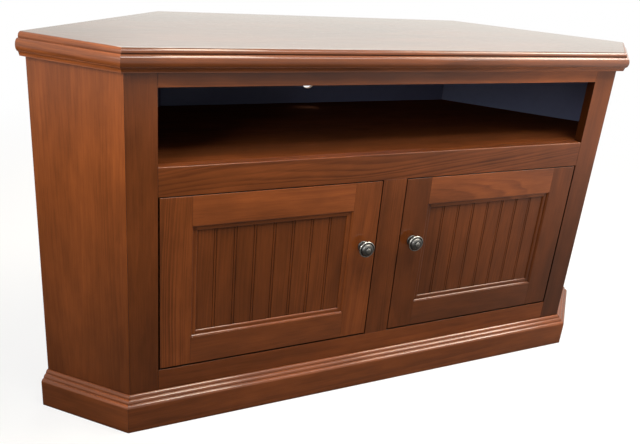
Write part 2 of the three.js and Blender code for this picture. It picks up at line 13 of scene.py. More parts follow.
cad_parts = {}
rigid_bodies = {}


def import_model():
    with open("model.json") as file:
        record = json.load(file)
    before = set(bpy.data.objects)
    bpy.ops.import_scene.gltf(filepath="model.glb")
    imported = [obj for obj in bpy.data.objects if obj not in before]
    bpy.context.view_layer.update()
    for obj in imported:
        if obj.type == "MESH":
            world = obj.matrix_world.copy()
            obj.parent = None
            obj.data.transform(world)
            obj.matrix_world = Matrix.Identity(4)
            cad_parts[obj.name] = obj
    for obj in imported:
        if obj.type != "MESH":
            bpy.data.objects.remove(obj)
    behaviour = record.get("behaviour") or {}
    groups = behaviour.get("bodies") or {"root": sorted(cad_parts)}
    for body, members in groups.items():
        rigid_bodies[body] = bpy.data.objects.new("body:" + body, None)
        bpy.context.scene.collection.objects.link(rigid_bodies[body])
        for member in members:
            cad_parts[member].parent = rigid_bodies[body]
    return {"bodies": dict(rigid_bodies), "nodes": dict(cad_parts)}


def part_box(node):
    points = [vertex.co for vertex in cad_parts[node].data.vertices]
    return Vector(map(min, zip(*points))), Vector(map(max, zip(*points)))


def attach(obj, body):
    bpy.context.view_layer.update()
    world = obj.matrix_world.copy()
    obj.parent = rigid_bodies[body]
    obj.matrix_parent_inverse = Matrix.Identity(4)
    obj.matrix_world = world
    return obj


bl_info = {
    "name": "Corner tv cabinet",
    "version": (1, 0, 0),
    "blender": (4, 5, 0),
    "location": "View3D > Sidebar > Cabinet",
    "description": "Finishes a corner tv cabinet in stained wood, with pewter knobs and nickel hinges",
    "category": "Object",
}

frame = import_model()

MM = 0.001
UP = Vector((0, 0, 1))
RIGHT = Vector((1, 0, 0))
BACK = Vector((0, 1, 0))
FRONT = -BACK
WHITE = (1, 1, 1, 1)
WARM_WHITE = (1, 1, 0.94, 1)

# The canted ends run back from the front corners, and the wall panels run in behind them
HALF_CORNER = math.pi / 8
SLANT = math.sin(2 * HALF_CORNER)
LEFT_SLANT = Vector((-SLANT, SLANT, 0))
RIGHT_SLANT = Vector((SLANT, SLANT, 0))
LEFT_CANT = Vector((-SLANT, -SLANT, 0))
RIGHT_CANT = Vector((SLANT, -SLANT, 0))

# A board's place in its trunk, in millimetres from the heart, radians of tilt and metres along it
FLAT_CUT_DEPTH = (35, 80)
FLAT_CUT_SHIFT = (-25, 25)
QUARTER_CUT_DEPTH = (5, 25)
QUARTER_CUT_SHIFT = (110, 170)
MOST_RUNOUT = 0.035
MOST_SWING = 0.012
HALF_TRUNK = 3
ACROSS_GRAIN = (0, 1, 1)

# The lacquer, and the shine of the wood under it
LACQUER_ROUGHNESS = 0.1
LACQUER_IOR = 1.5
UNDER_GLOSS = 0.05
# Samples that gauge how closed in each point is, for the painted shade
PAINTED_SHADE_SAMPLES = 6

# Depth of each surface's fine relief
WOOD_RELIEF = 0.04 * MM
PANEL_RELIEF = 0.05 * MM
PEWTER_RELIEF = 0.03 * MM
NICKEL_RELIEF = 0.01 * MM

# Edges flatter than the flat angle are joined, and those past the sharp angle are rounded
FLAT_ANGLE = math.radians(0.6)
SHARP_ANGLE = math.radians(32)
ARRIS_SEGMENTS = 2
OUTLINE_SEGMENTS = 3
WELD_DISTANCE = 0.005 * MM
MEETING_DISTANCE = 0.05 * MM

# The floor's gap under the plinth, and the camera sensor's width in millimetres
FLOOR_GAP = 0.2 * MM
SENSOR_WIDTH = 36

# A mix node's sockets for each type: the share and the two values, then the result
MIX_SOCKETS = {"RGBA": ((0, 6, 7), 2), "VECTOR": ((0, 4, 5), 1)}


class LightFade(NamedTuple):
    """Painted light: a slow change to another tone, between two places along the grain."""

    start: float
    end: float
    tone: float


class Lamp(NamedTuple):
    """A rectangular lamp, with the setting that holds its power and colour. Its spread is in degrees."""

    setting: str
    place: tuple
    target: tuple
    width: float
    height: float
    spread: float = 180
    shines: bool = True


LAMPS = {
    "key_lamp": Lamp("key", (-1.55, -0.6, 1.45), (-0.5, -0.1, 0.6), 0.7, 0.7),
    "top_lamp": Lamp("top", (0.1, -0.75, 2.2), (0.1, -0.35, 0.3), 2.2, 0.25, shines=False),
    "side_lamp": Lamp("side", (-1.15, -0.6, 0.9), (-0.55, -0.12, 0.64), 0.5, 0.5, spread=75),
    "front_lamp": Lamp("front", (0.25, -0.55, 1.15), (0.25, -0.2, 0.5), 1.5, 0.12, spread=80),
    "right_strip": Lamp("strip", (1.3, -0.6, 1.45), (0.6, -0.3, 0.3), 1.6, 0.2),
    "back_lamp": Lamp("back", (0.9, 1.5, 2.1), (0.3, 0, 0.5), 2.4, 0.5),
    "low_lamp": Lamp("low", (0.95, -1.3, 0.25), (0.45, -0.2, 0.68), 0.6, 0.2, spread=42, shines=False),
    "left_edge_lamp": Lamp("edge", (0.11, -0.5, 2.3), (0.055, -0.2, 0.4), 0.42, 1.0),
    "right_edge_lamp": Lamp("edge", (1.65, -0.5, 2.3), (0.825, -0.2, 0.4), 0.8, 1.0),
}


def colour_field(name, description, default):
    """A colour that a user can change."""
    return FloatVectorProperty(
        name=name,
        description=description,
        subtype="COLOR",
        default=default,
        min=0,
        max=1,
    )


def length_field(name, description, default, least=0):
    """A length that a user can change."""
    return FloatProperty(name=name, description=description, subtype="DISTANCE", default=default, min=least)


def share_field(name, description, default):
    """A share of 0 to 1 that a user can change."""
    return FloatProperty(name=name, description=description, subtype="FACTOR", default=default, min=0, max=1)


def power_field(name, description, default):
    """A lamp's power that a user can change."""
    return FloatProperty(name=name, description=description, subtype="POWER", default=default, min=0)


def angle_field(name, description, degrees):
    """An angle that a user can change."""
    return FloatProperty(name=name, description=description, subtype="ANGLE", default=math.radians(degrees))


class StainSettings(bpy.types.PropertyGroup):
    """The stained and lacquered wood."""

    pale_wood: colour_field("Pale wood", "Stained colour of each ring's soft part", (0.192, 0.0505, 0.0118))
    dark_wood: colour_field("Dark wood", "Stained colour of each ring's hard part", (0.058, 0.0142, 0.0040))
    ring_spacing: length_field("Ring spacing", "Distance between growth rings", 6.5 * MM, least=1 * MM)
    arris: length_field("Arris", "Radius that sanding leaves on the boards' edges", 0.35 * MM)
    top_arris: length_field("Top arris", "Radius on the edges of the top board", 0.12 * MM)
    outline_arris: length_field(
        "Outline arris",
        "Radius on the front edges round each door and along the shelf's rail",
        1.3 * MM,
    )
    # Painted shade on the edges that look into an opening
    reveal_shade_tone: share_field("Reveal shade tone", "Share of the brightness left on edges inside the frame", 0.42)
    # Painted shade in gaps, grooves and inner corners: its tone and reach
    painted_shade_tone: share_field("Painted shade tone", "Share of the brightness left deep in gaps and grooves", 0.12)
    painted_shade_reach: length_field("Painted shade reach", "How far from a corner the stain is darker", 9 * MM)
    lacquer_gloss: share_field("Lacquer gloss", "Share of the shine that comes from the lacquer", 0.7)


class BackPanelSettings(bpy.types.PropertyGroup):
    """The thin panels behind, painted on the side that shows."""

    paint: colour_field("Paint", "Colour of the panels' inner side", (0.15, 0.17, 0.30))
    board: colour_field("Board", "Colour of the panels' outer side", (0.30, 0.17, 0.09))
    edge_radius: length_field("Edge radius", "Radius on the panels' edges", 0.3 * MM)


class KnobSettings(bpy.types.PropertyGroup):
    """The antique pewter knobs."""

    metal: colour_field("Metal", "Colour of the metal where it is worn bright", (0.34, 0.33, 0.31))
    patina: colour_field("Patina", "Colour of the dark finish left in the hollows", (0.02, 0.021, 0.024))
    edge_radius: length_field("Edge radius", "Radius on the turned edges", 0.25 * MM)


class HingeSettings(bpy.types.PropertyGroup):
    """The concealed hinges and their screws."""

    nickel: colour_field("Nickel", "Colour of the nickel plating", (0.66, 0.64, 0.60))
    edge_radius: length_field("Edge radius", "Radius on the stamped edges", 0.2 * MM)
    screw_pitch: length_field("Screw pitch", "Distance between a plate's two screws", 32 * MM)
    screw_head_radius: length_field("Screw head radius", "Radius of a plate screw's head", 3.6 * MM)
    screw_head_height: length_field("Screw head height", "Height of the head above the plate", 1.6 * MM)


class StageSettings(bpy.types.PropertyGroup):
    """The floor, the light and the backdrop."""

    floor_colour: colour_field("Floor colour", "Colour of the plain floor", (0.90, 0.895, 0.89))
    floor_bounce: share_field(
        "Floor bounce",
        "Share of the floor's colour in the light that it throws back on the cabinet",
        0.25,
    )
    floor_size: length_field("Floor size", "Length of the floor's sides", 60, least=1)
    key_power: power_field("Key power", "Power of the soft lamp at the left", 4.2)
    side_power: power_field("Side power", "Power of the small lamp on the top of the left side", 1.9)
    front_power: power_field("Front power", "Power of the slim lamp just above the front", 2.0)
    strip_power: power_field("Strip power", "Power of the strip lamp over the right end", 7)
    back_power: power_field("Back power", "Power of the broad lamp above and behind", 42)
    back_colour: colour_field("Back colour", "Colour of the broad lamp above and behind", (1, 0.95, 0.88))
    edge_power: power_field("Edge power", "Power of the two lamps overhead for each metre of width", 60)
    edge_colour: colour_field("Edge colour", "Colour of the two lamps overhead", (1, 0.9, 0.71))
    low_power: power_field("Low power", "Power of the lamp near the floor in front", 0.8)
    top_power: power_field("Top power", "Power of the warm lamp over the front", 13)
    top_colour: colour_field("Top colour", "Colour of the lamp over the front", (1, 0.86, 0.64))
    ambient: FloatProperty(
        name="Ambient",
        description="Strength of the even light from all round",
        default=0.06,
        min=0,
    )


class PhotoCameraSettings(bpy.types.PropertyGroup):
    """The camera at the photograph's place."""

    place: FloatVectorProperty(
        name="Place",
        description="Where the camera stands",
        subtype="TRANSLATION",
        default=(-0.6996, -1.2642, 0.8771),
    )
    yaw: angle_field("Yaw", "Turn to the right from looking straight at the front", 26.91)
    pitch: angle_field("Pitch", "Tilt upwards", -22.66)
    roll: angle_field("Roll", "Turn of the picture about the line of sight", 5.31)
    focal_length: FloatProperty(
        name="Focal length",
        description="Focal length in millimetres on a sensor 36 mm wide",
        default=40.23,
        min=1,
    )


def feed(tree, node, values):
    """Links outputs to a node's sockets, by name or number, or sets the sockets' own values."""
    for socket, value in values.items():
        if isinstance(value, bpy.types.NodeSocket):
            tree.links.new(value, node.inputs[socket])
        else:
            node.inputs[socket].default_value = value


def tree_node(tree, kind, inputs=None, **settings):
    """A new node with its plain properties set and then its sockets fed."""
    made = tree.nodes.new(kind)
    for name, value in settings.items():
        setattr(made, name, value)
    feed(tree, made, inputs or {})
    return made


def sums(tree, operation, first, second=0.0):
    """One arithmetic step on numbers or outputs."""
    return tree_node(tree, "ShaderNodeMath", {0: first, 1: second}, operation=operation).outputs[0]


def product(tree, first, *others):
    """Multiplies numbers or outputs, one after the other."""
    for other in others:
        first = sums(tree, "MULTIPLY", first, other)
    return first


def total(tree, first, *others):
    """Adds numbers or outputs, one after the other."""
    for other in others:
        first = sums(tree, "ADD", first, other)
    return first


def vector_sums(tree, operation, first, second=(0.0, 0.0, 0.0)):
    """One arithmetic step on vectors."""
    made = tree_node(tree, "ShaderNodeVectorMath", {0: first, 1: second}, operation=operation)
    return made.outputs["Value" if operation in {"LENGTH", "DOT_PRODUCT"} else "Vector"]


def split_axes(tree, vector):
    """The three numbers of a vector."""
    return tree_node(tree, "ShaderNodeSeparateXYZ", {"Vector": vector}).outputs


def spread(tree, value, given=(0.0, 1.0), result=(0.0, 1.0)):
    """Maps one range of numbers smoothly onto another, held at both ends."""
    numbers = dict(enumerate((value, *given, *result)))
    made = tree_node(tree, "ShaderNodeMapRange", numbers, interpolation_type="SMOOTHSTEP")
    return made.outputs["Result"]


def ramp(tree, value, stops, interpolation="LINEAR"):
    """Maps a number onto grey levels, through stops that each hold a place and a level."""
    made = tree_node(tree, "ShaderNodeValToRGB", {"Fac": value})
    made.color_ramp.interpolation = interpolation
    elements = made.color_ramp.elements
    elements[0].position = stops[0][0]
    elements[1].position = stops[-1][0]
    for position, _ in stops[1:-1]:
        elements.new(position)
    for element, (_, level) in zip(elements, stops):
        element.color = (level, level, level, 1)
    return made.outputs["Color"]


def blend(tree, share, first, second, data_type="RGBA", blend_type="MIX"):
    """Mixes two colours or two vectors by a share."""
    sockets, result = MIX_SOCKETS[data_type]
    values = dict(zip(sockets, (share, first, second)))
    made = tree_node(tree, "ShaderNodeMix", values, data_type=data_type, blend_type=blend_type)
    return made.outputs[result]


def noise(tree, place, grain, detail=2.0, roughness=0.5, output="Fac"):
    """Noise with as many grains to the metre as the grain says, on every axis or on each."""
    if isinstance(grain, (int, float)):
        grain = (grain, grain, grain)
    place = vector_sums(tree, "MULTIPLY", place, grain)
    inputs = {"Vector": place, "Scale": 1.0, "Detail": detail, "Roughness": roughness}
    return tree_node(tree, "ShaderNodeTexNoise", inputs).outputs[output]


def object_place(tree):
    """Places measured in the object's own space, which is the shared frame."""
    return tree_node(tree, "ShaderNodeTexCoord").outputs["Object"]


def surface_normal(tree):
    return tree_node(tree, "ShaderNodeNewGeometry").outputs["Normal"]


def rgba(colour):
    return (*colour, 1.0)


def made_once(name, make):
    """The node group of that name, made when it is first asked for."""
    return bpy.data.node_groups.get(name) or make(name)


def new_group(name, kind, inputs, outputs):
    """A node group with its sockets. Returns its tree and what it is given."""
    tree = bpy.data.node_groups.new(name, kind)
    for in_out, sockets in (("INPUT", inputs), ("OUTPUT", outputs)):
        for socket, value_kind in sockets.items():
            tree.interface.new_socket(socket, in_out=in_out, socket_type=f"NodeSocket{value_kind}")
    return tree, tree_node(tree, "NodeGroupInput").outputs


def stained_wood_group(name):
    """Grain, figure, blotches and painted shade in hollows of the stained wood. X of the place runs along
    the grain.
    """
    stain = bpy.context.scene.cabinet_stain
    inputs = {"Place": "Vector", "Figure": "Float", "Tone": "Float"}
    outputs = {"Colour": "Color", "Roughness": "Float", "Height": "Float", "Openness": "Float"}
    tree, given = new_group(name, "ShaderNodeTree", inputs, outputs)
    place = given["Place"]

    # The trunk's slow bends, then the small wander of each ring
    slow_bend = {"grain": (1.1, 7, 7), "detail": 1, "reach": 62 * MM}
    small_wander = {"grain": (7, 55, 55), "detail": 2, "reach": 5 * MM}
    noise_middle = (0.5, 0.5, 0.5)
    bent = place
    for shift in (slow_bend, small_wander):
        sway = noise(tree, place, shift["grain"], detail=shift["detail"], output="Color")
        sway = vector_sums(tree, "SUBTRACT", sway, noise_middle)
        sway = vector_sums(tree, "MULTIPLY", sway, (0, shift["reach"], shift["reach"]))
        bent = vector_sums(tree, "ADD", bent, sway)
    radius = vector_sums(tree, "LENGTH", vector_sums(tree, "MULTIPLY", bent, ACROSS_GRAIN))

    # Growth rings, closer in some years than in others, each with a dark late part
    change_of_pace = 0.31
    unevenness = 3.2
    late_wood = ((0.1, 0), (0.84, 1), (0.99, 0))
    years = sums(tree, "DIVIDE", radius, stain.ring_spacing)
    pace = {"W": product(tree, years, change_of_pace), "Scale": 1.0}
    uneven = tree_node(tree, "ShaderNodeTexNoise", pace, noise_dimensions="1D")
    years = total(tree, years, product(tree, uneven.outputs["Fac"], unevenness))
    late = ramp(tree, sums(tree, "FRACT", years), late_wood, "EASE")
    strength = noise(tree, place, grain=(2.4, 24, 24))
    strength = spread(tree, strength, given=(0.35, 0.68), result=(0.25, 1.0))
    ring_dark = product(tree, late, strength, given["Figure"])

    # Fibres and open pores, long and thin
    fibres = noise(tree, place, grain=(14, 520, 520), detail=3, roughness=0.62)
    fibre_dark = spread(tree, fibres, given=(0.3, 0.72))
    pores = noise(tree, place, grain=(42, 1500, 1500), detail=1)
    pore_dark = spread(tree, pores, given=(0.6, 0.74))

    # Blotches, where the wood took up more or less stain
    blotch = noise(tree, place, grain=(3.2, 13, 13), detail=3, roughness=0.55)
    blotch = spread(tree, blotch, given=(0.3, 0.72), result=(0.8, 1.18))
    cloud = noise(tree, place, grain=(16, 45, 45))
    cloud = spread(tree, cloud, given=(0.3, 0.7), result=(0.93, 1.08))

    # Painted shade: darker wood and a thinner, duller lacquer in gaps, grooves and inner corners, by how
    # closed in they are
    reach = {"Distance": stain.painted_shade_reach}
    hollow = tree_node(tree, "ShaderNodeAmbientOcclusion", reach, samples=PAINTED_SHADE_SAMPLES)
    unshaded_share = spread(tree, hollow.outputs["AO"], given=(0.15, 0.8), result=(stain.painted_shade_tone, 1.0))

    # The stained colour, from the share of dark wood, the tone and the painted shade
    darkening = ((ring_dark, 0.5), (fibre_dark, 0.24), (pore_dark, 0.18))
    dark_share = total(tree, *(product(tree, dark, share) for dark, share in darkening))
    dark_share = sums(tree, "MINIMUM", dark_share, 1.0)
    colour = blend(tree, dark_share, rgba(stain.pale_wood), rgba(stain.dark_wood))
    tone = product(tree, blotch, cloud, given["Tone"], unshaded_share)
    grey = tree_node(tree, "ShaderNodeCombineColor", {0: tone, 1: tone, 2: tone})
    colour = blend(tree, 1.0, colour, grey.outputs["Color"], blend_type="MULTIPLY")

    # Raised rings, sunk pores and fibres
    smooth_wood = 0.33
    fibre_roughness = 0.09
    reliefs = ((ring_dark, 0.4), (pore_dark, -0.8), (fibre_dark, -0.35))
    roughness = total(tree, smooth_wood, product(tree, fibre_dark, fibre_roughness))
    height = total(tree, *(product(tree, dark, relief) for dark, relief in reliefs))
    results = {"Colour": colour, "Roughness": roughness, "Height": height, "Openness": unshaded_share}
    tree_node(tree, "NodeGroupOutput", results)
    return tree


def empty_tree(owner):
    """The node tree of a material or world, cleared."""
    owner.use_nodes = True
    owner.node_tree.nodes.clear()
    return owner.node_tree


def new_material(name):
    """An empty material with a principled shader. Returns the material, its tree and the shader."""
    material = bpy.data.materials.new(name)
    tree = empty_tree(material)
    shader = tree_node(tree, "ShaderNodeBsdfPrincipled")
    tree_node(tree, "ShaderNodeOutputMaterial", {"Surface": shader.outputs["BSDF"]})
    return material, tree, shader


def finish_shader(tree, shader, colour, roughness, height, depth):
    """Gives the shader a colour, a roughness and a bump from a height, depth metres deep."""
    relief = {"Strength": 1.0, "Distance": depth, "Height": height}
    normal = tree_node(tree, "ShaderNodeBump", relief).outputs["Normal"]
    feed(tree, shader, {"Base Color": colour, "Roughness": roughness, "Normal": normal})


def cut_place(tree, name, along, facing, middle, slope=0.0, quarter=False):
    """Places on a board, measured from the heart of its trunk, with X along the grain."""
    draw = random.Random(name)
    across = facing.cross(along).normalized()
    heart_depth = draw.uniform(*FLAT_CUT_DEPTH) * MM
    heart_shift = draw.uniform(*FLAT_CUT_SHIFT) * MM
    if quarter:
        heart_depth = draw.uniform(*QUARTER_CUT_DEPTH) * MM
        heart_shift = draw.choice((-1, 1)) * draw.uniform(*QUARTER_CUT_SHIFT) * MM
    axes = Matrix((along, across, facing)).transposed()
    runout = Matrix.Rotation(draw.uniform(-MOST_RUNOUT, MOST_RUNOUT), 3, across)
    swing = Matrix.Rotation(slope + draw.uniform(-MOST_SWING, MOST_SWING), 3, facing)
    along_trunk = along * draw.uniform(-HALF_TRUNK, HALF_TRUNK)
    heart = middle - facing * heart_depth + across * heart_shift + along_trunk
    turn = (swing @ runout @ axes).to_euler()
    inputs = {"Vector": object_place(tree), "Location": heart, "Rotation": turn}
    return tree_node(tree, "ShaderNodeMapping", inputs, vector_type="TEXTURE").outputs["Vector"]


def lacquered_wood(tree, shader, place, figure, tone, gloss, under_gloss=UNDER_GLOSS, dullness=0.0):
    """Joins the stained wood and its lacquer to a shader."""
    group = made_once("Stained wood", stained_wood_group)
    inputs = {"Place": place, "Figure": figure, "Tone": tone}
    wood = tree_node(tree, "ShaderNodeGroup", inputs, node_tree=group).outputs
    roughness = total(tree, wood["Roughness"], dullness)
    finish_shader(tree, shader, wood["Colour"], roughness, wood["Height"], WOOD_RELIEF)
    # The lacquer is thinner where the painted shade falls, which dulls the reflections there
    coat = product(tree, wood["Openness"], gloss)
    feed(tree, shader, {"Specular IOR Level": under_gloss, "Coat Weight": coat})
    feed(tree, shader, {"Coat Roughness": LACQUER_ROUGHNESS, "Coat IOR": LACQUER_IOR})


def board_wood(
    name,
    along,
    facing,
    middle,
    tone=1.0,
    figure=1.0,
    gloss=None,
    dullness=0.0,
    reveal=None,
    fade=None,
    slope=0.0,
    quarter=False,
):
    """Wood for one board, cut from its own place in a trunk. The grain runs along one vector.

    A fade takes the tone to another one, between two places along the grain: painted light where the
    light falls more or less. A reveal is the axis that the board's edges face where they look into an
    opening; those edges are drawn darker, as painted shade.
    """
    stain = bpy.context.scene.cabinet_stain
    if gloss is None:
        gloss = stain.lacquer_gloss
    material, tree, shader = new_material(name)
    place = cut_place(tree, name, along, facing, middle, slope, quarter)
    # A fade is painted light: the tone changes along the board where the light falls more or less
    if fade is not None:
        length = vector_sums(tree, "DOT_PRODUCT", object_place(tree), tuple(along))
        tone = spread(tree, length, given=(fade.start, fade.end), result=(tone, fade.tone))
    # Edges facing along the reveal axis are drawn darker: painted shade
    if reveal is not None:
        turned_in = vector_sums(tree, "DOT_PRODUCT", surface_normal(tree), tuple(reveal))
        turned_in = sums(tree, "ABSOLUTE", turned_in)
        share = spread(tree, turned_in, given=(0.8, 0.95), result=(1.0, stain.reveal_shade_tone))
        tone = product(tree, tone, share)
    lacquered_wood(tree, shader, place, figure, tone, gloss, dullness=dullness)
    return material


def behind_line(tree, place, corner, outward):
    """1 on the inner side of an upright plane through a corner, 0 on its outer side."""
    distance = vector_sums(tree, "DOT_PRODUCT", place, tuple(outward))
    return sums(tree, "LESS_THAN", distance, corner.dot(outward))


def top_wood(name):
    """The top board: a field and front lipping along the front, and canted lippings mitred to them.

    A thin line round the field is painted as a dark reflection, and the routed step as a shadow.
    """
    low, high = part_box(name)
    front_low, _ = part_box("left_stile")
    overhang = front_low.y - low.y
    corner_x = abs(front_low.x) + overhang * math.tan(HALF_CORNER)
    lipping_width = 42 * MM
    lipping_half_length = 90 * MM
    field_tone = 0.35
    field_gloss = 0.45
    edge_tone = 0.7
    line_depth = 0.7
    painted_dark_lines = ((0.2 * MM, 0.8 * MM), (7.0 * MM, 9.4 * MM))
    lippings = (
        ("left", LEFT_SLANT, LEFT_CANT, -1, 0.4, 0.45),
        ("right", RIGHT_SLANT, RIGHT_CANT, 1, 0.3, 0.2),
    )

    material, tree, shader = new_material(name)
    here = object_place(tree)
    place = cut_place(tree, name, RIGHT, UP, (low + high) / 2)
    for side, slant, cant, sign, paler, fainter in lippings:
        corner = Vector((sign * corner_x, low.y, high.z))
        mitre = Vector((-sign * math.cos(HALF_CORNER), -math.sin(HALF_CORNER), 0))
        outer = sums(tree, "SUBTRACT", 1.0, behind_line(tree, here, corner - cant * lipping_width, cant))
        on_lipping = product(tree, outer, behind_line(tree, here, corner, mitre))
        middle = corner + slant * lipping_half_length
        lip_place = cut_place(tree, f"{name}_{side}_lipping", slant, cant, middle)
        place = blend(tree, on_lipping, place, lip_place, data_type="VECTOR")
        edge_tone = total(tree, edge_tone, product(tree, on_lipping, paler))
        line_depth = sums(tree, "SUBTRACT", line_depth, product(tree, on_lipping, fainter))

    # Painted dark lines: a dark reflection round the field and a shadow in the routed step; they darken the
    # wood and cut the lacquer's shine
    position = split_axes(tree, here)
    height = position["Z"]
    field = sums(tree, "GREATER_THAN", height, high.z - painted_dark_lines[0][0])
    shade = 1.0
    for upper, lower in painted_dark_lines:
        below = sums(tree, "LESS_THAN", height, high.z - upper)
        line = product(tree, below, sums(tree, "GREATER_THAN", height, high.z - lower))
        shade = sums(tree, "SUBTRACT", shade, product(tree, line, line_depth))
    tone = spread(tree, field, result=(product(tree, edge_tone, shade), field_tone))
    edge_gloss = spread(tree, position["X"], given=(0.0, 0.5), result=(UNDER_GLOSS, field_gloss))
    under_gloss = spread(tree, field, result=(product(tree, edge_gloss, shade), field_gloss))
    lacquered_wood(tree, shader, place, figure=0.6, tone=tone, gloss=shade, under_gloss=under_gloss)
    return material


def weld_and_sharpen_group(name):
    """Geometry nodes that weld a node's faces and keep only its real edges sharp."""
    geometry = {"Geometry": "Geometry"}
    tree, given = new_group(name, "GeometryNodeTree", geometry, geometry)
    angles = {0: edge_angle(tree), 1: SHARP_ANGLE}
    gentle = tree_node(tree, "FunctionNodeCompare", angles, data_type="FLOAT", operation="LESS_THAN")
    inputs = {"Geometry": given["Geometry"], "Distance": WELD_DISTANCE}
    weld = tree_node(tree, "GeometryNodeMergeByDistance", inputs)
    inputs = {"Geometry": weld.outputs["Geometry"]}
    faces = tree_node(tree, "GeometryNodeSetShadeSmooth", inputs, domain="FACE")
    inputs = {"Geometry": faces.outputs["Geometry"], "Shade Smooth": gentle.outputs["Result"]}
    edges = tree_node(tree, "GeometryNodeSetShadeSmooth", inputs, domain="EDGE")
    tree_node(tree, "NodeGroupOutput", {"Geometry": edges.outputs["Geometry"]})
    return tree


def arris_sizes_group(name):
    """Geometry nodes that give the front edges of an outline a full arris and the rest a finer one."""
    inputs = {"Geometry": "Geometry", "Low": "Vector", "High": "Vector", "Finer": "Float"}
    tree, given = new_group(name, "GeometryNodeTree", inputs, {"Geometry": "Geometry"})
    place = split_axes(tree, tree_node(tree, "GeometryNodeInputPosition").outputs["Position"])
    low = split_axes(tree, given["Low"])
    high = split_axes(tree, given["High"])
    on_outline = 0.0
    for axis in ("X", "Z"):
        for limit in (low, high):
            on_outline = sums(tree, "MAXIMUM", on_outline, meets(tree, place[axis], limit[axis]))
    on_outline = product(tree, on_outline, meets(tree, place["Y"], low["Y"]))
    sharp = sums(tree, "GREATER_THAN", edge_angle(tree), SHARP_ANGLE)
    share = sums(tree, "MAXIMUM", on_outline, given["Finer"])
    weight = product(tree, sharp, share)
    inputs = {"Geometry": given["Geometry"], "Name": "bevel_weight_edge", "Value": weight}
    store = tree_node(tree, "GeometryNodeStoreNamedAttribute", inputs, data_type="FLOAT", domain="EDGE")
    tree_node(tree, "NodeGroupOutput", {"Geometry": store.outputs["Geometry"]})
    return tree


def edge_angle(tree):
    return tree_node(tree, "GeometryNodeInputMeshEdgeAngle").outputs["Unsigned Angle"]


def meets(tree, first, second):
    """1 where two lengths are almost the same, else 0."""
    apart = sums(tree, "ABSOLUTE", sums(tree, "SUBTRACT", first, second))
    return sums(tree, "LESS_THAN", apart, MEETING_DISTANCE)


def add_bevel(piece, radius, segments, limit_method):
    """Rounds the edges that the method picks."""
    arris = piece.modifiers.new("Eased arris", "BEVEL")
    arris.width = radius
    arris.segments = segments
    arris.limit_method = limit_method
    arris.angle_limit = SHARP_ANGLE
    arris.harden_normals = True


def join_faces(piece):
    """Welds a node's faces and joins the flat ones, without touching its own mesh."""
    packed_normals = piece.data.attributes.get("custom_normal")
    if packed_normals:
        piece.data.attributes.remove(packed_normals)
    weld = piece.modifiers.new("Weld and sharpen", "NODES")
    weld.node_group = made_once("Weld and sharpen", weld_and_sharpen_group)
    flatten = piece.modifiers.new("Join flat faces", "DECIMATE")
    flatten.decimate_type = "DISSOLVE"
    flatten.angle_limit = FLAT_ANGLE


def ease_outline(piece, outline, radius, finer_radius):
    """Rounds a node's front edges on an outline by one radius, and its other edges by a finer one."""
    low, high = outline
    sizes = piece.modifiers.new("Arris sizes", "NODES")
    sizes.node_group = made_once("Arris sizes", arris_sizes_group)
    values = {"Low": low, "High": high, "Finer": finer_radius / radius}
    for item in sizes.node_group.interface.items_tree:
        if item.in_out == "INPUT" and item.name in values:
            sizes[item.identifier] = values[item.name]
    add_bevel(piece, radius, OUTLINE_SEGMENTS, "WEIGHT")


def dress(name, material, radius, outline=None):
    """Gives a CAD node its material and eased edges."""
    piece = frame["nodes"][name]
    piece.data.materials.clear()
    piece.data.materials.append(material)
    join_faces(piece)
    if outline:
        ease_outline(piece, outline, bpy.context.scene.cabinet_stain.outline_arris, radius)
    elif radius > 0:
        add_bevel(piece, radius, ARRIS_SEGMENTS, "ANGLE")
    return piece


def dress_board(name, along, facing, outline=None, **wood):
    """Gives a board its own cut of wood."""
    low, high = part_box(name)
    material = board_wood(name, along, facing, (low + high) / 2, **wood)
    return dress(name, material, bpy.context.scene.cabinet_stain.arris, outline)


class CABINET_OT_finish_top(bpy.types.Operator):
    """Finish the top board and the three lengths of cove moulding under it"""

    bl_idname = "cabinet.finish_top"
    bl_label = "Finish top"

    def execute(self, context):
        # Painted light: the front moulding is drawn lighter towards the right
        to_the_right = LightFade(start=-0.25, end=0.4, tone=1.2)
        dress("top_panel", top_wood("top_panel"), context.scene.cabinet_stain.top_arris)
        dress_board("front_top_moulding", RIGHT, FRONT, figure=0.6, tone=0.8, fade=to_the_right, gloss=0.9)
        dress_board("left_top_moulding", LEFT_SLANT, LEFT_CANT, figure=0.8, tone=1.2, gloss=0.9)
        dress_board("right_top_moulding", RIGHT_SLANT, RIGHT_CANT, figure=0.8, gloss=0.9)
        return {"FINISHED"}


